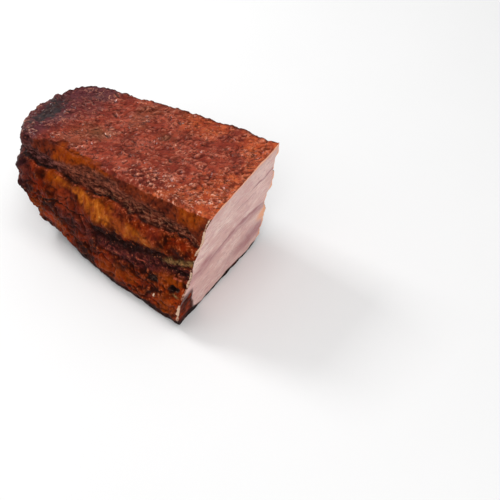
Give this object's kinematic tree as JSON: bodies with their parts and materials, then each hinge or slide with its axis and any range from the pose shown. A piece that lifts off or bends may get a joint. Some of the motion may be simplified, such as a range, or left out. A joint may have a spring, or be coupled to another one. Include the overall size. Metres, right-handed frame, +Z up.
{
  "type": "cured pork belly",
  "caption": "Thick block of cured, smoked pork belly: blistered rind on top, layered fat and lean round the sides, one flat cut end and one rounded end.",
  "frame": {"origin": "middle of the block's box, on the surface that it rests on", "axes": "+X runs along the slab from the rounded end to the cut end, -Y is the leaning front side, +Z is up to the rind"},
  "size_m": [0.1664, 0.1034, 0.0803],
  "materials": {
    "smoked_pork": "reddish brown smoked rind and sides with a moist gloss, pale pink fat and lean on the cut end"
  },
  "bodies": {
    "root": {"pork_belly": "smoked_pork"}
  },
  "joints": []
}
